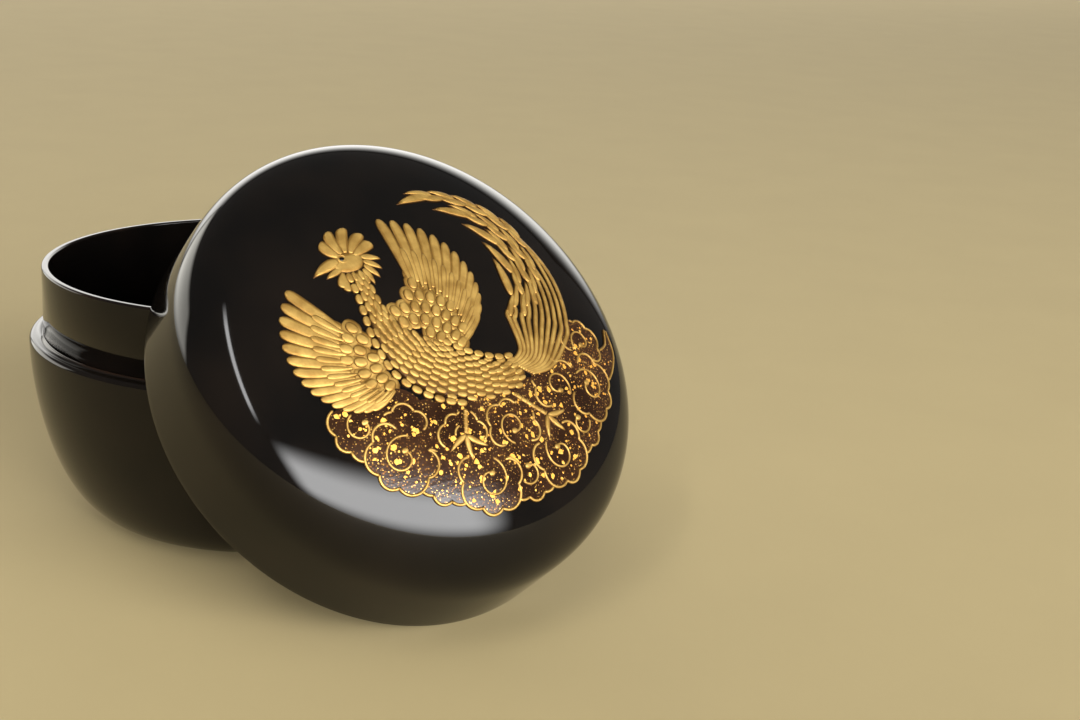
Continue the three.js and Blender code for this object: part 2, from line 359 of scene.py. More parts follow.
def lacquer_material():
    material, tree, shader = new_material("black_urushi")
    place = node(tree, "ShaderNodeTexCoord").outputs["Object"]
    worn = node(tree, "ShaderNodeAttribute", {"attribute_name": "worn"}).outputs["Fac"]
    clouding = node(tree, "ShaderNodeTexNoise", Vector=place, Scale=70.0, Detail=3.0).outputs["Fac"]
    depth = node(tree, "ShaderNodeMath", {"operation": "MULTIPLY_ADD"})
    tree.links.new(worn, depth.inputs[0])
    depth.inputs[1].default_value = 0.45
    tree.links.new(spread(tree, clouding, 0.35, 0.75, 0.0, 0.35), depth.inputs[2])
    black, warm, brown = (0.0026, 0.0022, 0.0019), (0.0062, 0.0044, 0.0032), (0.03, 0.014, 0.007)
    tint = ramp(tree, depth.outputs[0], [(0.0, black), (0.4, warm), (1.0, brown)])
    tree.links.new(tint, shader.inputs["Base Color"])
    swirl = node(tree, "ShaderNodeMapping", Vector=place, Scale=(1, 1, 9)).outputs["Vector"]
    wiping = node(tree, "ShaderNodeTexNoise", Vector=swirl, Scale=900.0, Detail=5.0).outputs["Fac"]
    tree.links.new(spread(tree, wiping, 0.35, 0.7, 0.035, 0.075), shader.inputs["Roughness"])
    waves = node(tree, "ShaderNodeTexNoise", Vector=place, Scale=46.0, Detail=1.0).outputs["Fac"]
    slow = bump(tree, shader, waves, 0.00006, 0.25)
    dust = node(tree, "ShaderNodeTexVoronoi", Vector=place, Scale=420.0)
    speck = spread(tree, dust.outputs["Distance"], 0.0, 0.07, 1.0, 0.0)
    bump(tree, shader, speck, 0.000006, 0.5, under=slow)
    shader.inputs["IOR"].default_value = 1.5
    shader.inputs["Specular IOR Level"].default_value = 0.28
    return material


urushi = lacquer_material()

body_coat = turned(
    "body_outer_coat",
    [
        (0, 0),
        *belly(0),
        *corner(OUTER_RADIUS - LEDGE_ROUND, BODY_HEIGHT - LEDGE_ROUND, LEDGE_ROUND, 15, 90),
        (COLLAR_OUT + LEDGE_FILLET, BODY_HEIGHT),
        *corner(
            COLLAR_OUT + LEDGE_FILLET, BODY_HEIGHT + LEDGE_FILLET, LEDGE_FILLET * 0.9, -90, -170, 4,
        ),
        (COLLAR_OUT + JOINT_GAP, BODY_HEIGHT - OUTER_COAT),
        (OUTER_RADIUS - LEDGE_ROUND, BODY_HEIGHT - OUTER_COAT),
        *reversed(belly(OUTER_COAT)),
        (0, OUTER_COAT),
    ],
    urushi,
)
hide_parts("body_outer_lacquer")
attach(body_coat, "caddy_body")


# ---------------------------------------------------------------------------
# Black lacquer inside the bowl.
# The same black coats, brushed on where the tea powder lies, and left a little
# softer than the outside. They run up under the collar.
# ---------------------------------------------------------------------------

BODY_WALL = 3.4 * MM
INNER_COAT = 0.4 * MM
collar_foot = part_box("rim_collar")[0].z


def below(curve, height):
    """The part of a rising curve that stays under a height, ended exactly at it."""
    kept = [point for point in curve if point[1] < height - 1e-7]
    (r0, z0), (r1, z1) = kept[-1], curve[len(kept)]
    return kept + [(r0 + (r1 - r0) * (height - z0) / (z1 - z0), height)]


bowl_top = collar_foot - JOINT_GAP
bowl_coat = turned(
    "body_inner_coat",
    [
        (0, BODY_WALL - INNER_COAT),
        *below(belly(BODY_WALL - INNER_COAT), bowl_top),
        *reversed(below(belly(BODY_WALL), bowl_top)),
        (0, BODY_WALL),
    ],
    urushi,
)
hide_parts("body_inner_lacquer")
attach(bowl_coat, "caddy_body")


# ---------------------------------------------------------------------------
# Collar round the mouth of the body.
# A thin straight ring of wood, lacquered all over and let into the body's mouth,
# that the lid slides down over. Its top edge is rounded and catches the light.
# ---------------------------------------------------------------------------

RIM_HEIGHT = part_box("rim_collar")[1].z
COLLAR_WALL = 1.3 * MM
COLLAR_EDGE = 0.4 * MM

collar_in = COLLAR_OUT - COLLAR_WALL
collar = turned(
    "collar_ring",
    [
        (collar_in, collar_foot),
        (COLLAR_OUT, collar_foot),
        (COLLAR_OUT, RIM_HEIGHT - STRAIGHT_EDGE),
        *corner(COLLAR_OUT - COLLAR_EDGE, RIM_HEIGHT - COLLAR_EDGE, COLLAR_EDGE, 0, 90),
        *corner(collar_in + COLLAR_EDGE, RIM_HEIGHT - COLLAR_EDGE, COLLAR_EDGE, 90, 180),
        (collar_in, RIM_HEIGHT - STRAIGHT_EDGE),
        (collar_in, collar_foot),
    ],
    urushi,
)
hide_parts("rim_collar")
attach(collar, "caddy_body")


# ---------------------------------------------------------------------------
# Black lacquer over the outside of the lid.
# The same mirror coats over a straight skirt and a full, flattened crown, turned
# under the mouth's edge. The lid is laid leaning towards +X, its lower edge on the table.
# ---------------------------------------------------------------------------

LID_HEIGHT = 28 * MM
SKIRT_HEIGHT = 10.5 * MM
LID_WALL = 2.25 * MM
MOUTH_ROUND = 0.4 * MM
CROWN_POWERS = (2.4, 2.9)
LID_TILT = math.radians(47.57)
LEAN_OFFSET = 37.3 * MM
DOME = LID_HEIGHT - SKIRT_HEIGHT

lid_edge = OUTER_RADIUS - MOUTH_ROUND
lid_lift = lid_edge * math.sin(LID_TILT) + MOUTH_ROUND * (1 - math.cos(LID_TILT))
lid_place = Matrix.Translation((LEAN_OFFSET, 0, lid_lift)) @ Matrix.Rotation(LID_TILT, 4, "Y")


def crown(inset, steps=72):
    """The crown from the top of the skirt to its middle, moved in by an inset."""
    across, up = CROWN_POWERS

    def place(t):
        out = max(math.cos(t), 0) ** (2 / across)
        return OUTER_RADIUS * out, SKIRT_HEIGHT + DOME * max(math.sin(t), 0) ** (2 / up)

    points = quarter(place, steps, inset)
    points[-1] = (0, points[-1][1])
    return points


mouth_in = OUTER_RADIUS - LID_WALL
lid_coat = turned(
    "lid_outer_coat",
    [
        (0, LID_HEIGHT - OUTER_COAT),
        *list(reversed(crown(OUTER_COAT)))[1:],
        (OUTER_RADIUS - OUTER_COAT, OUTER_COAT),
        (mouth_in, OUTER_COAT),
        (mouth_in, MOUTH_ROUND / 2),
        *corner(mouth_in + MOUTH_ROUND / 2, MOUTH_ROUND / 2, MOUTH_ROUND / 2, -180, -90, 4),
        *corner(OUTER_RADIUS - MOUTH_ROUND, MOUTH_ROUND, MOUTH_ROUND, -90, 0),
        (OUTER_RADIUS, STRAIGHT_EDGE),
        *crown(0),
    ],
    urushi,
    lid_place,
)
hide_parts("lid_outer_lacquer")
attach(lid_coat, "lid")


# ---------------------------------------------------------------------------
# Black lacquer inside the lid.
# A plain black coat over the hollow, from the mouth's edge to under the crown.
# It closes over the body's collar when the caddy is shut.
# ---------------------------------------------------------------------------

lid_lining = turned(
    "lid_inner_coat",
    [
        (0, LID_HEIGHT - LID_WALL),
        *list(reversed(crown(LID_WALL)))[1:],
        (mouth_in, OUTER_COAT + JOINT_GAP),
        (mouth_in + INNER_COAT, OUTER_COAT + JOINT_GAP),
        *crown(LID_WALL - INNER_COAT),
    ],
    urushi,
    lid_place,
)
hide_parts("lid_inner_lacquer")
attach(lid_lining, "lid")


# ---------------------------------------------------------------------------
# Ground of the cloud bank on the crown.
# A thin raised layer of dark brown lacquer, sprinkled while wet with fine gold
# powder and polished flush. It is cut as a bank of scalloped clouds with one long tongue.
# ---------------------------------------------------------------------------

GROUND_RISE = 0.14 * MM
GROUND_INSET = 0.25
PICTURE_REACH = 37 * MM
TILE = 1 * MM


def polar(distance, degrees):
    angle = math.radians(degrees)
    return Vector((distance * math.cos(angle), distance * math.sin(angle)))


# A cloud is (centre, radius, the way it faces in degrees), in the picture's own
# millimetres: x to the right and y up from the middle of the crown. Nearer clouds come last.
inner_clouds = [
    (Vector((-16.5, -16.5)), 4.2, 128),
    (Vector((-7.0, -19.5)), 4.2, 112),
    (Vector((2.6, -19.8)), 4.8, 88),
    (Vector((14.6, -14.8)), 5.2, 92),
    (Vector((24.0, -7.6)), 4.4, 66),
]
rim_clouds = [(polar(26.2, 211 + 16.4 * i), 4.9 + 0.7 * (i % 2), 206 + 17 * i) for i in range(8)]
clouds = inner_clouds + rim_clouds[0::2] + rim_clouds[1::2]
fillers = [(polar(22, 220 + 16 * i), 5.2) for i in range(8)]
fillers += [(Vector((-12 + 5.2 * i, -15.4)), 3.6) for i in range(6)]
tongue_route = [Vector(p) for p in ((21, -16), (25.4, -12.4), (28.6, -11), (31.6, -8.6), (32.8, -5))]
tongue_widths = (7.6, 6.4, 4.4, 2.4, 0.5)


def cloud_discs(centre, radius, facing):
    """The discs that make one cloud: a round middle and five lobes on the side it faces."""
    discs = [(centre, radius * 0.7)]
    for k in range(5):
        share = 0.46 if k % 2 else 0.38
        discs.append((centre + polar(radius * 0.66, facing + 49 * (k - 2)), radius * share))
    return discs


def smooth_route(points, steps):
    """A Catmull-Rom curve through points or numbers, with so many steps between each two."""
    padded = [points[0] * 2 - points[1], *points, points[-1] * 2 - points[-2]]
    route = []
    for i in range(len(points) - 1):
        a, b, c, d = padded[i:i + 4]
        for k in range(steps):
            t = k / steps
            slope = c - a
            arch = a * 2 - b * 5 + c * 4 - d
            twist = a * -1 + b * 3 - c * 3 + d
            route.append(b + (slope * t + arch * t**2 + twist * t**3) * 0.5)
    return route + [points[-1]]


tongue = list(zip(smooth_route(tongue_route, 8), smooth_route(tongue_widths, 8)))


CROWN_INPUTS = {
    "Radius": "Float", "Skirt": "Float", "Dome": "Float", "Power across": "Float",
    "Power up": "Float", "Tilt": "Float", "Place": "Vector",
}
crown_sizes = {
    "Radius": OUTER_RADIUS, "Skirt": SKIRT_HEIGHT, "Dome": DOME, "Power across": CROWN_POWERS[0],
    "Power up": CROWN_POWERS[1], "Tilt": LID_TILT, "Place": lid_place.translation,
}


def combined(tree, x, y, z):
    """A vector made of three numbers."""
    made = tree.nodes.new("ShaderNodeCombineXYZ")
    for i, value in enumerate((x, y, z)):
        tree.links.new(value.socket, made.inputs[i])
    return made.outputs[0]


def crown_group():
    """A flat drawing, in the picture's metres with its height in z, laid on the leaning crown."""
    tree, given, result = geometry_tree("laid_on_the_crown", CROWN_INPUTS)
    flat = node(tree, "ShaderNodeSeparateXYZ")
    tree.links.new(node(tree, "GeometryNodeInputPosition").outputs[0], flat.inputs[0])
    u = Number(tree, flat.outputs["Y"]) * -1
    v = Number(tree, flat.outputs["X"])
    height = Number(tree, flat.outputs["Z"])
    radius = Number(tree, given["Radius"])
    dome = Number(tree, given["Dome"])
    across = Number(tree, given["Power across"])
    up = Number(tree, given["Power up"])
    r = (u * u + v * v).math("SQRT").math("MAXIMUM", 1e-7)
    left = (1 - (r / radius) ** across).math("MAXIMUM", 1e-6)
    z = dome * left ** up.inverse() + Number(tree, given["Skirt"])
    slope = dome * (across / up) * r ** (across - 2) / radius ** across * left ** (up.inverse() - 1)
    upright = node(tree, "ShaderNodeVectorMath", {"operation": "NORMALIZE"})
    tree.links.new(combined(tree, slope * u, slope * v, u * 0 + 1), upright.inputs[0])
    lifted = node(tree, "ShaderNodeVectorMath", {"operation": "MULTIPLY_ADD"})
    tree.links.new(upright.outputs[0], lifted.inputs[0])
    tree.links.new(combined(tree, height, height, height), lifted.inputs[1])
    tree.links.new(combined(tree, u, v, z), lifted.inputs[2])
    leaned = node(
        tree, "ShaderNodeVectorRotate", {"rotation_type": "Y_AXIS"},
        Vector=lifted.outputs[0], Angle=given["Tilt"],
    )
    placed = node(tree, "ShaderNodeVectorMath", {"operation": "ADD"})
    tree.links.new(leaned.outputs[0], placed.inputs[0])
    tree.links.new(given["Place"], placed.inputs[1])
    moved = node(tree, "GeometryNodeSetPosition", Geometry=given["Geometry"], Position=placed.outputs[0])
    tree.links.new(moved.outputs[0], result)
    return tree


laid_on_crown = crown_group()


def lay_on_crown(tree, given, geometry):
    """Adds the crown group to a tree, fed from the tree's own inputs of the same names."""
    made = tree.nodes.new("GeometryNodeGroup")
    made.node_tree = laid_on_crown
    tree.links.new(geometry, made.inputs["Geometry"])
    for name in CROWN_INPUTS:
        tree.links.new(given[name], made.inputs[name])
    return made.outputs["Geometry"]


def point_mesh(name, points, numbers=(), edges=()):
    """A mesh of loose vertices, with a float attribute for each named list of numbers."""
    mesh = bpy.data.meshes.new(name)
    mesh.from_pydata([tuple(p) for p in points], list(edges), [])
    for label, values in dict(numbers).items():
        mesh.attributes.new(label, "FLOAT", "POINT").data.foreach_set("value", list(values))
    return mesh


def ground_tree():
    """Columns on points of their own size, cut from a slab of square tiles and laid on the crown."""
    tree, given, result = geometry_tree(
        "cloud_ground",
        {"Reach": "Float", "Rise": "Float", "Tile": "Float", "Material": "Material", **CROWN_INPUTS},
    )
    column = node(
        tree, "GeometryNodeMeshCylinder", {"fill_type": "NGON"}, Vertices=64, Radius=1.0, Depth=4 * MM,
    )
    size = node(tree, "GeometryNodeInputNamedAttribute", {"data_type": "FLOAT"}, Name="size")
    wide = Number(tree, size.outputs["Attribute"])
    columns = node(
        tree, "GeometryNodeInstanceOnPoints", Points=given["Geometry"], Instance=column.outputs["Mesh"],
        Scale=combined(tree, wide, wide, wide * 0 + 1),
    )
    solid = node(tree, "GeometryNodeMeshBoolean", {"operation": "UNION", "solver": "MANIFOLD"})
    tree.links.new(columns.outputs["Instances"], solid.inputs["Mesh 2"])
    side = Number(tree, given["Reach"]) * 2
    tiles = (side / Number(tree, given["Tile"])).math("ROUND") + 1
    slab = node(
        tree, "GeometryNodeMeshCube", Size=combined(tree, side, side, Number(tree, given["Rise"]) * 2),
        Vertices_X=tiles.socket, Vertices_Y=tiles.socket,
    )
    cut = node(tree, "GeometryNodeMeshBoolean", {"operation": "INTERSECT", "solver": "MANIFOLD"})
    tree.links.new(slab.outputs["Mesh"], cut.inputs["Mesh 2"])
    tree.links.new(solid.outputs["Mesh"], cut.inputs["Mesh 2"])
    flat = lay_on_crown(tree, given, cut.outputs["Mesh"])
    real = node(tree, "GeometryNodeRealizeInstances", Geometry=flat)
    coated = node(
        tree, "GeometryNodeSetMaterial", Geometry=real.outputs["Geometry"], Material=given["Material"],
    )
    tree.links.new(coated.outputs["Geometry"], result)
    return tree


def cloud_material():
    material, tree, shader = new_material("brown_lacquer_with_gold_dust")
    place = node(tree, "ShaderNodeTexCoord").outputs["Object"]
    patches = node(tree, "ShaderNodeTexNoise", Vector=place, Scale=140.0, Detail=4.0).outputs["Fac"]
    ground = ramp(tree, patches, [(0.3, (0.013, 0.005, 0.002)), (0.7, (0.034, 0.014, 0.0055))])
    specks = node(tree, "ShaderNodeTexVoronoi", Vector=place, Scale=2600.0)
    dense = spread(tree, patches, 0.3, 0.7, 0.18, 0.4)
    is_speck = node(tree, "ShaderNodeMath", {"operation": "LESS_THAN"})
    tree.links.new(specks.outputs["Distance"], is_speck.inputs[0])
    tree.links.new(dense, is_speck.inputs[1])
    which = node(tree, "ShaderNodeSeparateColor", Color=specks.outputs["Color"]).outputs[0]
    copper, gold_dust, bright_dust = (0.10, 0.035, 0.012), (0.30, 0.13, 0.03), (0.85, 0.52, 0.13)
    tint = ramp(tree, which, [(0.0, copper), (0.55, gold_dust), (1.0, bright_dust)])
    mixed = node(tree, "ShaderNodeMix", {"data_type": "RGBA"})
    tree.links.new(is_speck.outputs[0], mixed.inputs["Factor"])
    tree.links.new(ground, mixed.inputs[6])
    tree.links.new(tint, mixed.inputs[7])
    tree.links.new(mixed.outputs[2], shader.inputs["Base Color"])
    half_metal = node(tree, "ShaderNodeMath", {"operation": "MULTIPLY"})
    tree.links.new(is_speck.outputs[0], half_metal.inputs[0])
    half_metal.inputs[1].default_value = 0.6
    tree.links.new(half_metal.outputs[0], shader.inputs["Metallic"])
    tree.links.new(spread(tree, patches, 0.3, 0.7, 0.12, 0.2), shader.inputs["Roughness"])
    bump(tree, shader, specks.outputs["Distance"], 0.00002, 0.35)
    shader.inputs["Specular IOR Level"].default_value = 0.35
    return material


brown_lacquer = cloud_material()
ground_discs = [disc for cloud in clouds for disc in cloud_discs(*cloud)] + fillers
ground_discs += [(middle, width / 2) for middle, width in tongue]
ground_sizes = [max(radius - GROUND_INSET, 0.2) * MM for _, radius in ground_discs]
ground_centres = [(x * MM, y * MM, 0) for (x, y), _ in ground_discs]
cloud_ground = grown(
    "cloud_bank_ground",
    point_mesh("cloud_columns", ground_centres, {"size": ground_sizes}),
    ground_tree(),
    {"Reach": PICTURE_REACH, "Rise": GROUND_RISE, "Tile": TILE, "Material": brown_lacquer, **crown_sizes},
)
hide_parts("cloud_ground")
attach(cloud_ground, "lid")


# ---------------------------------------------------------------------------
# Gold flakes in the cloud ground.
# Small torn leaves of gold foil, pressed into the wet lacquer one by one and
# polished down, so that they lie just proud of it.
# ---------------------------------------------------------------------------

FLAKES = 340
FLAKE_SEED = 11
FLAKE_SIDES = 6
FLAKE_RISE = 0.04 * MM
FLAKE_SUNK = 0.02 * MM
FLAKE_MARGIN = 1.0


def inside(point, discs, margin=0.0):
    return any((point - centre).length < radius - margin for centre, radius in discs)


def flake_mesh():
    """Flakes scattered with a fixed seed, each a thin closed prism with a torn outline."""
    chance = random.Random(FLAKE_SEED)
    vertices, faces = [], []
    while len(faces) < FLAKES * (FLAKE_SIDES + 2):
        spot = Vector((chance.uniform(-33, 33), chance.uniform(-33, -3)))
        gathered = chance.random() < 0.35 + 0.65 * abs(math.sin(spot.x * 0.55 + 1) * math.sin(spot.y * 0.7))
        if not gathered or not inside(spot, ground_discs, FLAKE_MARGIN):
            continue
        size = 0.2 + 0.5 * chance.random() ** 2.4
        turn = chance.uniform(0, 360)
        start = len(vertices)
        ring = [
            spot + polar(size * chance.uniform(0.4, 1.0), turn + 360 * k / FLAKE_SIDES)
            for k in range(FLAKE_SIDES)
        ]
        for level in (GROUND_RISE - FLAKE_SUNK, GROUND_RISE + FLAKE_RISE):
            vertices += [(p.x * MM, p.y * MM, level) for p in ring]
        bottom = [start + k for k in range(FLAKE_SIDES)]
        top = [k + FLAKE_SIDES for k in bottom]
        faces += [bottom[::-1], top]
        for k in range(FLAKE_SIDES):
            after = (k + 1) % FLAKE_SIDES
            faces.append([bottom[k], bottom[after], top[after], top[k]])
    mesh = bpy.data.meshes.new("flakes")
    mesh.from_pydata(vertices, [], faces)
    return mesh


def foil_tree():
    tree, given, result = geometry_tree("foil_on_the_crown", {"Material": "Material", **CROWN_INPUTS})
    laid = lay_on_crown(tree, given, given["Geometry"])
    real = node(tree, "GeometryNodeRealizeInstances", Geometry=laid)
    gilded = node(tree, "GeometryNodeSetMaterial", Geometry=real.outputs[0], Material=given["Material"])
    tree.links.new(gilded.outputs[0], result)
    return tree


def foil_material():
    material, tree, shader = new_material("gold_foil")
    place = node(tree, "ShaderNodeTexCoord").outputs["Object"]
    creases = node(tree, "ShaderNodeTexVoronoi", Vector=place, Scale=1500.0)
    tint = ramp(
        tree, creases.outputs["Distance"], [(0.0, (1.0, 0.62, 0.14)), (0.6, (0.82, 0.40, 0.06))],
    )
    tree.links.new(tint, shader.inputs["Base Color"])
    rough = spread(tree, creases.outputs["Distance"], 0.0, 0.6, 0.35, 0.55)
    tree.links.new(rough, shader.inputs["Roughness"])
    shader.inputs["Metallic"].default_value = 0.6
    bump(tree, shader, creases.outputs["Distance"], 0.00003, 0.6)
    return material


flakes = grown("gold_flakes", flake_mesh(), foil_tree(), {"Material": foil_material(), **crown_sizes})
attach(flakes, "lid")


# ---------------------------------------------------------------------------
# Body and neck of the bird.
# Built up in lacquer and charcoal powder, gilded with gold powder and burnished. One low
# swelling from neck to tail is covered in small overlapping feathers and edged with beads.
# ---------------------------------------------------------------------------

KINDS = {"quill": 0, "scale": 1, "flame": 2}
LEAF_NUMBERS = ("kind", "turn", "long", "wide", "bend", "rise")
SPINE_STEPS = 10
LINE_STEP = 0.3 * MM
laid_discs = []


def leaf_spine(root, angle, long, bend, share):
    """A point on the middle line of a leaf that curves to its left by bend."""
    along = polar(long * share, angle)
    return root + along + polar(bend * share**2, angle + 90)


def is_free(point, margin=0.0):
    """Whether no part of the picture that is already laid covers a point."""
    return all((point - centre).length > radius + margin for centre, radius in laid_discs)


class Drawing:
    """Leaves and lines in the picture's millimetres, for the gold tree to raise.

    Each stops where a part that is already laid begins."""

    def __init__(self):
        self.points = []
        self.edges = []
        self.numbers = {name: [] for name in LEAF_NUMBERS}
        self.discs = []

    def put(self, point, kind, turn, long, wide, bend, rise):
        self.points.append((point[0] * MM, point[1] * MM, 0))
        for name, value in zip(LEAF_NUMBERS, (kind, turn, long * MM, wide * MM, bend * MM, rise * MM)):
            self.numbers[name].append(value)

    def leaf(self, kind, root, angle, long, wide, bend=0.0, rise=0.3, least=0.6):
        """A leaf from its root, at an angle in degrees, unless less than a least share is free."""
        root = Vector(root)
        spine = [leaf_spine(root, angle, long, bend, k / SPINE_STEPS) for k in range(SPINE_STEPS + 1)]
        free = [least == 0 or is_free(point) for point in spine]
        if kind == "scale" and not free[SPINE_STEPS // 2]:
            return
        if kind != "scale" and not all(free):
            if not free[-1]:
                return
            first = SPINE_STEPS - free[::-1].index(False) + 1
            share = first / SPINE_STEPS
            if 1 - share < least:
                return
            lean = math.degrees(math.atan2(2 * bend * share, long))
            root, angle = spine[first], angle + lean
            long, bend = long * (1 - share), bend * (1 - share) ** 2
        self.put(root, KINDS[kind], math.radians(angle), long, wide, bend, rise)
        for k in range(1, SPINE_STEPS):
            share = k / SPINE_STEPS
            middle = leaf_spine(root, angle, long, bend, share)
            self.discs.append((middle, wide * leaf_outline(kind, share)))

    def line(self, route, widths, rise=0.3, cut=True):
        """A round-backed line along a route, with a width for each point or one for all."""
        if isinstance(widths, (int, float)):
            widths = [widths] * len(route)
        run = []
        for point, width in zip([*route, None], [*widths, None]):
            if point is not None and (not cut or is_free(Vector(point), 0.15)):
                run.append((point, width))
                continue
            if len(run) > 1:
                start = len(self.points)
                for place, width in run:
                    self.put(place, -1, 0, 0, width, 0, rise)
                    self.discs.append((Vector(place), width / 2))
                self.edges += [(start + k, start + k + 1) for k in range(len(run) - 1)]
            run = []

    def mesh(self, name):
        return point_mesh(name, self.points, self.numbers, self.edges)


def leaf_outline(kind, s):
    """Half the width of a leaf, as a share of its full width, at a share s of its length."""
    if kind == "quill":
        swell = 0.34 + 0.66 * math.sin(min(s / 0.7, 1) * math.pi / 2)
        end = max(s - 0.82, 0) / 0.18
        return 0.5 * swell * math.sqrt(max(1 - end**2.2, 0))
    if kind == "scale":
        return 0.5 * math.sqrt(max(1 - abs(2 * s - 1) ** 2.5, 0))
    return 0.5 * math.sin(math.pi * s**0.66) ** 0.8


def leaf_template(kind, stations, around):
    """A closed leaf of unit length, width and height, its leaf coordinates kept as an attribute."""
    vertices = [(0, 0, 0.2)]
    for i in range(1, stations):
        s = (1 - math.cos(math.pi * i / stations)) / 2
        half = leaf_outline(kind, s)
        thick = min(half / 0.2, 1)
        for k in range(around):
            angle = 2 * math.pi * k / around
            side, top = math.cos(angle), math.sin(angle)
            across = math.copysign(abs(side) ** 0.7, side)
            vertices.append((s, half * across, top**0.6 * thick if top > 1e-9 else top * 0.12))
    vertices.append((1, 0, 0.1))
    last = len(vertices) - 1
    faces = [(0, 1 + (k + 1) % around, 1 + k) for k in range(around)]
    for i in range(stations - 2):
        a, b = 1 + i * around, 1 + (i + 1) * around
        faces += [(a + k, a + (k + 1) % around, b + (k + 1) % around, b + k) for k in range(around)]
    end = 1 + (stations - 2) * around
    faces += [(end + k, end + (k + 1) % around, last) for k in range(around)]
    mesh = bpy.data.meshes.new(kind)
    mesh.from_pydata(vertices, [], faces)
    mesh.attributes.new("leaf", "FLOAT_VECTOR", "POINT").data.foreach_set("vector", np.ravel(vertices))
    if signed_volume(mesh) < 0:
        mesh.flip_normals()
    return bpy.data.objects.new(f"leaf_{KINDS[kind]}_{kind}", mesh)


leaf_shapes = bpy.data.collections.new("leaf_shapes")
for kind, stations, around in (("quill", 14, 10), ("scale", 8, 10), ("flame", 10, 10)):
    leaf_shapes.objects.link(leaf_template(kind, stations, around))


def gold_tree():
    """Leaves on the loose points and round-backed lines on the edges, laid on the crown."""
    tree, given, result = geometry_tree(
        "raised_in_gold",
        {"Leaves": "Collection", "Step": "Float", "Material": "Material", **CROWN_INPUTS},
    )

    def named(name, kind="FLOAT"):
        made = node(tree, "GeometryNodeInputNamedAttribute", {"data_type": kind}, Name=name)
        return made.outputs["Attribute"]

    def parts(vector):
        made = node(tree, "ShaderNodeSeparateXYZ")
        tree.links.new(vector, made.inputs[0])
        return [Number(tree, out) for out in made.outputs]

    def stored(geometry, name, vector):
        made = node(
            tree, "GeometryNodeStoreNamedAttribute", {"data_type": "FLOAT_VECTOR", "domain": "POINT"},
            Geometry=geometry, Name=name, Value=vector,
        )
        return made.outputs["Geometry"]

    # Leaves: one from the collection for each loose point, drawn out to its own size.
    is_leaf = Number(tree, named("kind")).math("GREATER_THAN", -0.5)
    position = node(tree, "GeometryNodeInputPosition").outputs[0]
    rooted = stored(given["Geometry"], "root", position)
    shapes = node(tree, "GeometryNodeCollectionInfo", Collection=given["Leaves"], Separate_Children=True)
    leaves = node(
        tree, "GeometryNodeInstanceOnPoints", Points=rooted, Selection=is_leaf.socket,
        Instance=shapes.outputs[0], Pick_Instance=True,
        Instance_Index=Number(tree, named("kind")).math("ROUND").socket,
    )
    real = node(tree, "GeometryNodeRealizeInstances", Geometry=leaves.outputs["Instances"])
    s, t, h = parts(named("leaf", "FLOAT_VECTOR"))
    turn = Number(tree, named("turn"))
    along = s * Number(tree, named("long"))
    aside = s * s * Number(tree, named("bend")) + t * Number(tree, named("wide"))
    root_x, root_y, _ = parts(named("root", "FLOAT_VECTOR"))
    cosine, sine = turn.math("COSINE"), turn.math("SINE")
    x = root_x + along * cosine - aside * sine
    y = root_y + along * sine + aside * cosine
    z = h * Number(tree, named("rise"))
    # The leaf's height h is kept in the brush attribute, and the gold material paints the low edges darker
    # from it: painted shade.
    drawn = stored(real.outputs["Geometry"], "brush", combined(tree, along, t, h))
    set_leaves = node(tree, "GeometryNodeSetPosition", Geometry=drawn, Position=combined(tree, x, y, z))

    # Lines: smooth curves with round ends, swept with a round section and flattened. A broad line is rubbed
    # less bright than a fine one, and every line is painted darker towards its low edges as painted shade.
    curve = node(tree, "GeometryNodeMeshToCurve", Mesh=given["Geometry"])
    bent = node(
        tree, "GeometryNodeCurveSplineType", {"spline_type": "CATMULL_ROM"}, Curve=curve.outputs[0],
    )
    even = node(tree, "GeometryNodeResampleCurve", {"mode": "LENGTH"}, Curve=bent.outputs[0])
    tree.links.new(given["Step"], even.inputs["Length"])
    spline = node(tree, "GeometryNodeSplineParameter")
    run = Number(tree, spline.outputs["Length"])
    whole = Number(tree, node(tree, "GeometryNodeSplineLength").outputs["Length"])
    half = Number(tree, named("wide")) * 0.5
    rounded = (run.math("MINIMUM", whole - run) / half).math("MINIMUM", 1.0)
    width = half * (1 - (1 - rounded) * (1 - rounded)).math("MAXIMUM", 0.03).math("SQRT")
    radii = node(tree, "GeometryNodeSetCurveRadius", Curve=even.outputs[0], Radius=width.socket)
    kept = node(
        tree, "GeometryNodeStoreNamedAttribute", {"data_type": "FLOAT", "domain": "POINT"},
        Geometry=radii.outputs[0], Name="run", Value=run.socket,
    )
    section = node(tree, "GeometryNodeCurvePrimitiveCircle", Resolution=10, Radius=1.0)
    sweep = node(
        tree, "GeometryNodeCurveToMesh", Curve=kept.outputs["Geometry"], Scale=width.socket,
        Profile_Curve=section.outputs["Curve"], Fill_Caps=True,
    )
    line_x, line_y, line_z = parts(position)
    level = line_z / half
    above = level.math("MAXIMUM", 0.0) ** 0.7
    under = level.math("MINIMUM", 0.0)
    line_height = (above + under * 0.12) * Number(tree, named("rise"))
    tone = (1.4 * MM / Number(tree, named("wide"))).math("MINIMUM", 1.0)
    burnish_and_painted_shade = combined(tree, Number(tree, named("run")), level, above * tone ** 0.14)
    drawn_lines = stored(sweep.outputs["Mesh"], "brush", burnish_and_painted_shade)
    set_lines = node(
        tree, "GeometryNodeSetPosition", Geometry=drawn_lines,
        Position=combined(tree, line_x, line_y, line_height),
    )

    both = node(tree, "GeometryNodeJoinGeometry")
    tree.links.new(set_leaves.outputs[0], both.inputs[0])
    tree.links.new(set_lines.outputs[0], both.inputs[0])
    laid = lay_on_crown(tree, given, both.outputs[0])
    smooth = node(tree, "GeometryNodeSetShadeSmooth", Geometry=laid)
    finished = node(tree, "GeometryNodeRealizeInstances", Geometry=smooth.outputs[0])
    gilded = node(
        tree, "GeometryNodeSetMaterial", Geometry=finished.outputs[0], Material=given["Material"],
    )
    tree.links.new(gilded.outputs[0], result)
    return tree


gold_relief = gold_tree()


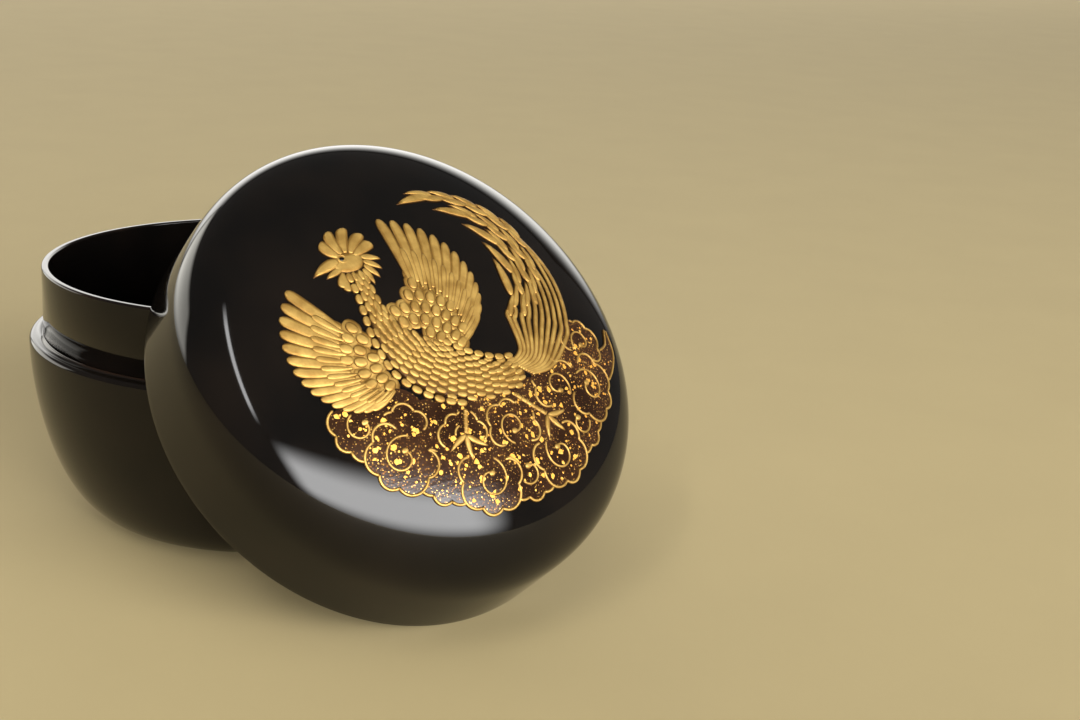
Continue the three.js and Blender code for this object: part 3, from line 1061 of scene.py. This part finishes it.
def gold_material():
    material, tree, shader = new_material("burnished_gold_powder")
    place = node(tree, "ShaderNodeTexCoord").outputs["Object"]
    brush = node(tree, "ShaderNodeAttribute", {"attribute_name": "brush"}).outputs["Vector"]
    split = node(tree, "ShaderNodeSeparateXYZ", Vector=brush)
    cloudy = node(tree, "ShaderNodeTexNoise", Vector=place, Scale=420.0, Detail=5.0).outputs["Fac"]
    powder = node(tree, "ShaderNodeTexNoise", Vector=place, Scale=9000.0, Detail=2.0).outputs["Fac"]
    # The brush height, made a little uneven by random cloudiness, picks the colour below. The low parts of
    # each raised leaf and line are painted in shade, along with the burnish.
    burnish_and_painted_shade = node(tree, "ShaderNodeMath", {"operation": "MULTIPLY"})
    tree.links.new(split.outputs["Z"], burnish_and_painted_shade.inputs[0])
    tree.links.new(spread(tree, cloudy, 0.35, 0.65, 0.82, 1.0), burnish_and_painted_shade.inputs[1])
    # The near-black low stop is painted shade on the low edges of each raised leaf and line and in the gaps
    # between them. The middle and high stops are the gold's own tone.
    low, middle, high = (0.06, 0.025, 0.004), (0.29, 0.155, 0.03), (0.56, 0.355, 0.095)
    tint = ramp(tree, burnish_and_painted_shade.outputs[0], [(0.42, low), (0.74, middle), (0.97, high)])
    tree.links.new(tint, shader.inputs["Base Color"])
    tree.links.new(spread(tree, powder, 0.3, 0.7, 0.42, 0.58), shader.inputs["Roughness"])
    shader.inputs["Metallic"].default_value = 0.7
    grain = bump(tree, shader, powder, 0.000012, 0.35)
    barbs = node(
        tree, "ShaderNodeTexWave", {"wave_type": "BANDS", "bands_direction": "DIAGONAL"},
        Vector=node(tree, "ShaderNodeMapping", Vector=brush, Scale=(1, 0.0012, 0)).outputs["Vector"],
        Scale=900.0,
    ).outputs["Fac"]
    bump(tree, shader, barbs, 0.00002, 0.3, under=grain)
    return material


gold = gold_material()


def gild(name, drawing, *cad_nodes, material=None):
    """Raises a drawing in gold on the crown, in the place of these CAD pieces."""
    values = {"Leaves": leaf_shapes, "Step": LINE_STEP, "Material": material or gold, **crown_sizes}
    made = grown(name, drawing.mesh(name + "_drawing"), gold_relief, values)
    laid_discs.extend(drawing.discs)
    if cad_nodes:
        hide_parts(*cad_nodes)
    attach(made, "lid")


def frame_along(route, share):
    """The point and the unit direction at a share of a finely divided route."""
    place = share * (len(route) - 1)
    i = min(int(place), len(route) - 2)
    ahead = route[i + 1] - route[i]
    return route[i] + ahead * (place - i), ahead.normalized()


def beside(direction):
    return Vector((-direction.y, direction.x))


def degrees_of(direction):
    return math.degrees(math.atan2(direction.y, direction.x))


SPINE = [Vector(p) for p in (
    (-13.4, 11), (-13.3, 7.4), (-13.2, 3.6), (-12.4, -0.6), (-10.2, -4.8), (-6.2, -8.2), (-0.8, -10.4),
    (4.6, -11), (9, -10.2),
)]
SPINE_WIDTHS = (2.4, 2.7, 3.6, 6.2, 9.2, 9.2, 7.6, 5.6, 3.6)
TRUNK_RISE = 0.26
TRUNK_ROWS = 30
SMALL_FEATHER = (1.75, 1.25, 0.13)
BACK_BEADS = (9, 18)
FRONT_BEADS = (0, 16)
spine = smooth_route(SPINE, 8)
spine_widths = smooth_route(SPINE_WIDTHS, 8)


def trunk_edge(side, out):
    """The trunk's edge on its left or right side, some way out, as (point, direction) pairs."""
    edge = []
    for i, (point, width) in enumerate(zip(spine, spine_widths)):
        ahead = (spine[min(i + 1, len(spine) - 1)] - spine[max(i - 1, 0)]).normalized()
        edge.append((point + beside(ahead) * side * (width / 2 + out), ahead))
    return edge


def evenly(edge, step):
    """Points and directions along an edge, a step apart."""
    spots, left = [], step / 2
    for (start, ahead), (end, _) in zip(edge, edge[1:]):
        span = (end - start).length
        while left <= span:
            spots.append((start + (end - start) * (left / span), (end - start).normalized()))
            left += step
        left -= span
    return spots


feather_long, feather_wide, feather_rise = SMALL_FEATHER
trunk = Drawing()
trunk.line(spine[::4], spine_widths[::4], TRUNK_RISE, cut=False)
for row in range(TRUNK_ROWS):
    share = 0.93 * row / (TRUNK_ROWS - 1)
    middle, ahead = frame_along(spine, share)
    half = spine_widths[round(share * (len(spine_widths) - 1))] / 2
    across = max(2, round(half * 2 / feather_wide))
    for k in range(across):
        offset = 2 * half * ((k + 0.5 + (0.25 if row % 2 else -0.25)) / across - 0.5) * 0.97
        top = TRUNK_RISE * max(1 - (offset / half) ** 2, 0.05) ** 0.35
        place = middle + beside(ahead) * offset
        wide = 2 * half / across * 0.86
        trunk.leaf("scale", place, degrees_of(ahead), feather_long, wide, 0, top + feather_rise, 0)
for side, step, (first, last) in ((-1, 1.95, FRONT_BEADS), (1, 1.9, BACK_BEADS)):
    for place, ahead in evenly(trunk_edge(side, 0.55), step)[first:last]:
        trunk.leaf("scale", place - ahead * step * 0.46, degrees_of(ahead), step * 0.92, 1.4, 0, 0.36, 0)
gild("neck_and_breast_gold", trunk, "bird_neck", "bird_body")


# ---------------------------------------------------------------------------
# Head.
# A small raised head with a hooked beak, a comb of round leaves, wattles and a ruff
# behind the cheek. The eye is a drop of black lacquer in a gold ring.
# ---------------------------------------------------------------------------

HEAD = Vector((-14.0, 12.8))
EYE = Vector((-15.0, 13.5))

head = Drawing()
head.leaf("scale", HEAD + Vector((-2.9, -0.2)), 4, 5.4, 4.0, 0, 0.34, 0)
head.leaf("flame", HEAD + Vector((-1.6, 0.4)), 184, 5.4, 2.2, 1.5, 0.42, 0)
head.leaf("flame", HEAD + Vector((-1.6, -0.9)), 196, 3.6, 1.3, 0.3, 0.32, 0)
comb = ((136, 3.6, -0.8), (110, 4.4, -1.0), (84, 4.8, -1.1), (58, 4.6, -1.1), (34, 4.2, -0.6))
for angle, long, bend in comb:
    head.leaf("quill", HEAD + polar(1.7, angle), angle, long, 2.3, bend, 0.36, 0)
for k in range(6):
    angle = 14 - 19 * k
    head.leaf("flame", HEAD + polar(2.3, angle), angle - 20, 3.6 - 0.12 * k, 1.3, -0.6, 0.32, 0)
for angle, long in ((236, 2.8), (256, 3.4)):
    head.leaf("quill", HEAD + Vector((-1.9, -1.7)), angle, long, 1.5, 0.4, 0.36, 0)
head.line([EYE + polar(0.66, 360 * k / 12) for k in range(13)], 0.24, 0.44, cut=False)
gild("head_gold", head, "bird_head")

eye = Drawing()
eye.leaf("scale", EYE - Vector((0.42, 0)), 0, 0.84, 0.84, 0, 0.42, 0)
gild("bird_eye", eye, material=urushi)


# ---------------------------------------------------------------------------
# The two spread wings.
# Long flight feathers with round tips, a shorter row over their roots, and rows
# of round scales at the shoulder, each one raised and gilded apart from the next.
# ---------------------------------------------------------------------------

SCALE_LONG = 2.15
SCALE_WIDE = 1.95
SCALE_ROWS = 7
BED_RISE = 0.1
FLIGHT_RISE = 0.28
COVERT_RISE = 0.36
UNDER_SCALE_RISE = 0.14
SCALE_RISE = 0.4


def wing(name, cad_node, root, first, last, flights, bend, inner, full, shoulder):
    """A fan of flight feathers, a row of coverts and rows of scales about a root.

    first and last are the (angle, length) of the end feathers, flights their number, and
    inner the share of the length where they start; the middle ones are longer by full.
    The scales spread on past the neck's side by a shoulder angle, fewer rows of them."""
    drawing = Drawing()
    opening = abs(math.radians(last[0] - first[0]))

    def reach(share):
        share = min(max(share, 0), 1)
        return first[1] + (last[1] - first[1]) * share + full * 4 * share * (1 - share)

    def leaf(kind, share, begin, end, width, rise, least=0.6):
        angle = first[0] + (last[0] - first[0]) * share
        length = reach(share)
        start, long = begin * length, (end - begin) * length
        lean = math.degrees(math.atan2(2 * bend * begin, length))
        place = Vector(root) + polar(start, angle) + polar(bend * begin**2, angle + 90)
        drawing.leaf(kind, place, angle + lean, long, width, bend * (end - begin) ** 2, rise, least)

    for i in range(flights):
        share = i / (flights - 1)
        wide = opening * reach(share) / flights
        leaf("quill", share, 0.06, inner + 0.1, wide * inner * 1.4, BED_RISE, 0.1)
        leaf("quill", share, inner, 1, wide * 0.93, FLIGHT_RISE)
    for i in range(flights - 1):
        share = (i + 0.5) / (flights - 1)
        wide = opening * reach(share) * inner / flights
        leaf("quill", share, inner * 0.94, inner + 0.24, wide * 1.1, COVERT_RISE)
    extra = math.radians(abs(shoulder))
    low, high = (-extra / opening, 1) if shoulder < 0 else (0, 1 + extra / opening)
    for row in range(1, SCALE_ROWS + 1):
        start = row * SCALE_LONG
        across = max(2, round(opening * (high - low) * (start + SCALE_LONG / 2) / SCALE_WIDE))
        for i in range(across):
            share = low + (high - low) * (i + (0.75 if row % 2 else 0.25)) / across
            beyond = max(-share, share - 1, 0) * opening / extra
            edge = inner * reach(share) * (1 - 0.5 * beyond)
            if start + SCALE_LONG * 0.6 < edge:
                part = SCALE_LONG / reach(share)
                under = ((row - 0.3) * part, (row + 1.3) * part, SCALE_WIDE * 1.6)
                leaf("scale", share, *under, UNDER_SCALE_RISE)
                leaf("scale", share, row * part, (row + 1) * part, SCALE_WIDE * 0.98, SCALE_RISE)
    gild(name, drawing, cad_node)


wing("rear_wing_gold", "rear_wing", (-8, -6.5), (-5, 10.5), (72, 26.5), 15, 5.6, 0.54, 3.5, 46)
wing("front_wing_gold", "front_wing", (-12, -5.5), (144, 21), (241, 10.5), 15, -4.6, 0.52, 1.5, -44)


# ---------------------------------------------------------------------------
# Five tail plumes.
# Raised ribbons laid side by side in pairs, gilded and burnished. They sweep up the right
# side, each plume further than the last; a pair joins in one shaft that throws off tongues.
# ---------------------------------------------------------------------------

PLUMES = 5
TAIL_MIDDLE = Vector((5, 4.6))
INNER_REACH = 8.4
RIBBON_STEP = 1.3
RIBBON_RISE = 0.3
SHAFT_RISE = 0.32
TONGUE_STEP = 4.4
TONGUE_RISE = 0.38
TIP_RISE = 0.36


def plume_reach(i):
    return INNER_REACH + 2 * RIBBON_STEP * i


def plume_sweep(i):
    return 48 + 22 * i


def plume_point(i, share, out=0.0):
    """A point along plume i, at a share of its sweep and some way out from its middle."""
    return TAIL_MIDDLE + polar(plume_reach(i) + out, -60 + 4 * i + plume_sweep(i) * share)


def plume_heading(i, share):
    return 30 + 4 * i + plume_sweep(i) * share


for i in range(PLUMES):
    plume = Drawing()
    begin = 0.32 - 0.06 * i
    join = 0.72 - 0.05 * i
    for side in (-0.5, 0.5):
        place = 2 * i + side + 0.5
        root = Vector((6.5 + 0.4 * place, -9.2 - 0.26 * place))
        route = [root, Vector((10 + 0.6 * place, -7 - 0.4 * place))]
        for k in range(8):
            share = begin + (join - begin) * k / 7
            narrowing = min(1, (join - share) / (0.4 * (join - begin)) + 0.1)
            route.append(plume_point(i, share, side * RIBBON_STEP * narrowing))
        plume.line(route, [0.7, 1.0] + [1.1 - 0.03 * k for k in range(8)], RIBBON_RISE, cut=False)
    shaft = [plume_point(i, join - 0.04 + (0.98 - join) * k / 6) for k in range(7)]
    plume.line(shaft, [1.1 - 0.06 * k for k in range(7)], SHAFT_RISE, cut=False)
    plume.leaf("flame", plume_point(i, 0.93), plume_heading(i, 0.93) + 4, 7.6, 1.9, 1.5, TIP_RISE, 0)
    along = math.radians(plume_sweep(i)) * plume_reach(i)
    for k in range(1 + i):
        for side, back, bend in ((1, 2.6, 1.5), (-1, 4.8, -0.7)):
            share = 0.98 - (back + TONGUE_STEP * k) / along
            if share > 0.25:
                heading = plume_heading(i, share) - 17 * side
                place = plume_point(i, share, 0.15 * side)
                plume.leaf("flame", place, heading, 5.4, 1.3, bend, TONGUE_RISE, 0)
    gild(f"tail_plume_gold_{i + 1}", plume, f"tail_plume_{i + 1}")


# ---------------------------------------------------------------------------
# Legs.
# Two thin raised shanks with cross bands like twisted cord, and three curved
# claws each, drawn over the cloud ground.
# ---------------------------------------------------------------------------

LEGS = {
    "left_leg": (((-4.4, -13.6), (-5.6, -16.2), (-6.6, -19)), (196, 256, 312)),
    "right_leg": (((4.2, -13.4), (7.2, -16.2), (10.2, -18.6)), (240, 300, 352)),
}
SHANK_WIDTH = 0.9
BANDS = 8
BAND_WIDTH = 0.34
for cad_node, (route, toes) in LEGS.items():
    leg = Drawing()
    middle = smooth_route([Vector(p) for p in route], 8)
    leg.line(middle[::2], SHANK_WIDTH, rise=0.3)
    for k in range(BANDS):
        point, ahead = frame_along(middle, 0.08 + 0.84 * k / (BANDS - 1))
        aside = beside(ahead) * 0.6
        leg.line([point - aside, point + aside + ahead * 0.3], BAND_WIDTH, rise=0.38)
    for angle in toes:
        leg.leaf("flame", middle[-1], angle, 4.2, 1.1, 0.9, 0.34)
    gild(cad_node + "_gold", leg, cad_node)


# ---------------------------------------------------------------------------
# Gold lines of the clouds.
# Raised lacquer lines drawn with a fine brush over the ground, dusted with gold
# powder and burnished. Each cloud has a scalloped edge and a curl that ends in a bead.
# ---------------------------------------------------------------------------

LINE_WIDTH = 0.52
LINE_RISE = 0.32
LOBE_STEPS = 44
CURL_STEPS = 20
BEAD = 1.1


def scalloped_edge(drawing, cloud, own, nearer, others):
    """The outline of a cloud's lobes, where it faces out and no nearer cloud covers it."""
    centre, _, facing = cloud
    for lobe in own:
        lobe_centre, lobe_radius = lobe
        rest = [disc for disc in own if disc is not lobe]
        towards = degrees_of(lobe_centre - centre) if (lobe_centre - centre).length > 0.1 else facing
        ring = [
            lobe_centre + polar(lobe_radius, towards - 180 + 360 * k / LOBE_STEPS)
            for k in range(LOBE_STEPS + 1)
        ]
        shown = []
        for point in ring:
            turned_away = abs((degrees_of(point - centre) - facing + 180) % 360 - 180)
            open_side = turned_away < 130 or not inside(point, others, 0.05)
            shown.append(open_side and not inside(point, rest + nearer))
        run = []
        for k, point in enumerate(ring):
            near = shown[max(k - 1, 0):k + 2]
            if any(near):
                run.append(point)
            if run and (not any(near) or k == LOBE_STEPS):
                if len(run) > 4:
                    drawing.line(run, LINE_WIDTH, rise=LINE_RISE)
                run = []


def curl(drawing, cloud, hand, nearer):
    """A line that winds in from one end of a cloud's edge, to a bead."""
    centre, radius, facing = cloud
    middle = centre + polar(radius * 0.12, facing)
    route = []
    for step in range(CURL_STEPS + 1):
        share = step / CURL_STEPS
        out = radius * (0.62 - 0.44 * share**0.8)
        point = middle + polar(out, facing - hand * (170 - 360 * share))
        if inside(point, nearer, -0.4):
            route = []
        else:
            route.append(point)
    if len(route) > CURL_STEPS / 2:
        drawing.line(route, LINE_WIDTH * 0.85, rise=LINE_RISE)
        drawing.leaf("scale", route[-1] - Vector((BEAD / 2, 0)), 0, BEAD, BEAD, rise=LINE_RISE * 1.2)


cloud_lines = Drawing()
all_discs = [cloud_discs(*cloud) for cloud in clouds]
tongue_discs = [(middle, width / 2) for middle, width in tongue]
for i, cloud in enumerate(clouds):
    nearer = [disc for later in all_discs[i + 1:] for disc in later]
    others = [disc for j, other in enumerate(all_discs) if j != i for disc in other]
    others += fillers + tongue_discs
    scalloped_edge(cloud_lines, cloud, all_discs[i], nearer, others)
    curl(cloud_lines, cloud, 1 if i % 2 else -1, nearer)
for side in (-1, 1):
    edge = []
    for i, (middle, width) in enumerate(tongue):
        ahead = tongue[min(i + 1, len(tongue) - 1)][0] - tongue[max(i - 1, 0)][0]
        edge_point = middle + beside(ahead.normalized()) * (side * width / 2)
        if not inside(edge_point, [disc for discs in all_discs for disc in discs]):
            edge.append(edge_point)
    cloud_lines.line(edge[::2] + [tongue[-1][0]], LINE_WIDTH, rise=LINE_RISE)
gild("cloud_gold_lines", cloud_lines, "cloud_lines")

for shape in list(leaf_shapes.objects):
    bpy.data.objects.remove(shape)


# ---------------------------------------------------------------------------
# Studio.
# A plain straw-coloured floor, a broad window low in front, a narrow one high at the left
# and two dim walls of paper behind, which the polished lacquer mirrors.
# ---------------------------------------------------------------------------

FLOOR_SIZE = 6.0
MIDDLE = Vector((0.022, 0, 0.034))
DAYLIGHT = (1.0, 0.98, 0.95)
CAMERA_PLACE = (0.2602, -0.1609, 0.1184)
CAMERA_TURN = 48.44
CAMERA_DOWN = 16.32
CAMERA_ROLL = 2.77
CAMERA_LENS = 56.26


def stage_material(name, colour, rough):
    material, tree, shader = new_material(name)
    place = node(tree, "ShaderNodeTexCoord").outputs["Object"]
    mottle = node(tree, "ShaderNodeTexNoise", Vector=place, Scale=30.0, Detail=6.0).outputs["Fac"]
    darker = tuple(c * 0.97 for c in colour)
    tree.links.new(ramp(tree, mottle, [(0.3, darker), (0.7, colour)]), shader.inputs["Base Color"])
    shader.inputs["Roughness"].default_value = rough
    return material


def flat_sheet(across, up):
    """The vertices, edges and face of a flat sheet round the origin."""
    x, y = across / 2, up / 2
    return [(-x, -y, 0), (x, -y, 0), (x, y, 0), (-x, y, 0)], [], [(0, 1, 2, 3)]


floor_mesh = bpy.data.meshes.new("studio_floor")
floor_mesh.from_pydata(*flat_sheet(FLOOR_SIZE, FLOOR_SIZE))
floor = bpy.data.objects.new("studio_floor", floor_mesh)
floor_mesh.materials.append(stage_material("pale_straw_mat", (0.43, 0.34, 0.165), 0.9))
bpy.context.scene.collection.objects.link(floor)

world = bpy.data.worlds.new("studio")
bpy.context.scene.world = world
world.use_nodes = True
background = world.node_tree.nodes["Background"]
background.inputs["Color"].default_value = (*DAYLIGHT, 1)
background.inputs["Strength"].default_value = 0.12


def facing_caddy(made, azimuth, elevation, distance, roll=0.0):
    """Sets a lamp or panel on a sphere round the caddy, facing its middle; azimuth is from +X."""
    up = math.radians(elevation)
    around = math.radians(azimuth)
    away = Vector((math.cos(up) * math.cos(around), math.cos(up) * math.sin(around), math.sin(up)))
    made.location = MIDDLE + away * distance
    turn = away.to_track_quat("Z", "Y").to_matrix() @ Matrix.Rotation(math.radians(roll), 3, "Z")
    made.rotation_euler = turn.to_euler()
    made.visible_camera = False
    made.visible_shadow = False
    bpy.context.scene.collection.objects.link(made)


def glowing_panel(name, place, size, soft, strength, colour=(1, 1, 1)):
    """A sheet of paper lit from behind, fading towards its edges over a soft margin."""
    material = bpy.data.materials.new(name)
    material.use_nodes = True
    tree = material.node_tree
    tree.nodes.clear()
    flat = node(tree, "ShaderNodeSeparateXYZ")
    tree.links.new(node(tree, "ShaderNodeTexCoord").outputs["Object"], flat.inputs[0])
    glow = None
    for axis, length, margin in zip("XY", size, soft):
        inward = length / 2 - Number(tree, flat.outputs[axis]).math("ABSOLUTE")
        fade = node(tree, "ShaderNodeMapRange", {"interpolation_type": "SMOOTHSTEP"}, Value=inward.socket)
        fade.inputs["From Max"].default_value = margin
        edge = Number(tree, fade.outputs["Result"])
        glow = edge if glow is None else glow * edge
    lit = node(tree, "ShaderNodeEmission", Color=(*colour, 1), Strength=(glow * strength).socket)
    output = tree.nodes.new("ShaderNodeOutputMaterial")
    tree.links.new(lit.outputs[0], output.inputs["Surface"])
    mesh = bpy.data.meshes.new(name)
    mesh.from_pydata(*flat_sheet(*size))
    mesh.materials.append(material)
    made = bpy.data.objects.new(name, mesh)
    facing_caddy(made, *place)


# Each place is azimuth, elevation, distance and roll.
glowing_panel("window", (-8, 14.5, 2.4), (4.4, 1.7), (0.9, 0.65), 17)
glowing_panel("tall_strip", (-68, 47, 1.2, 31), (0.1, 0.98), (0.03, 0.25), 16)
glowing_panel("far_wall", (150, 14, 2.3), (4.8, 1.6), (1.0, 0.7), 2.9, (1, 0.98, 0.93))
glowing_panel("left_wall", (199, 12, 2.3), (2.2, 1.3), (0.35, 0.35), 3.4, (1, 0.97, 0.88))

ceiling = bpy.data.lights.new("ceiling", "AREA")
ceiling.size = 1.2
ceiling.energy = 5.5
ceiling_lamp = bpy.data.objects.new("ceiling", ceiling)
facing_caddy(ceiling_lamp, -60, 70, 1.6)
ceiling_lamp.visible_glossy = False

camera_data = bpy.data.cameras.new("camera")
camera_data.sensor_width = 36
camera_data.lens = CAMERA_LENS
camera_data.clip_start = 0.01
camera = bpy.data.objects.new("camera", camera_data)
camera.location = CAMERA_PLACE
turned_to = Matrix.Rotation(math.radians(CAMERA_TURN), 4, "Z")
looking_down = Matrix.Rotation(math.radians(90 - CAMERA_DOWN), 4, "X")
rolled = Matrix.Rotation(math.radians(CAMERA_ROLL), 4, "Z")
camera.rotation_euler = (turned_to @ looking_down @ rolled).to_euler()
bpy.context.scene.collection.objects.link(camera)
bpy.context.scene.camera = camera
bpy.context.scene.view_settings.view_transform = "Standard"
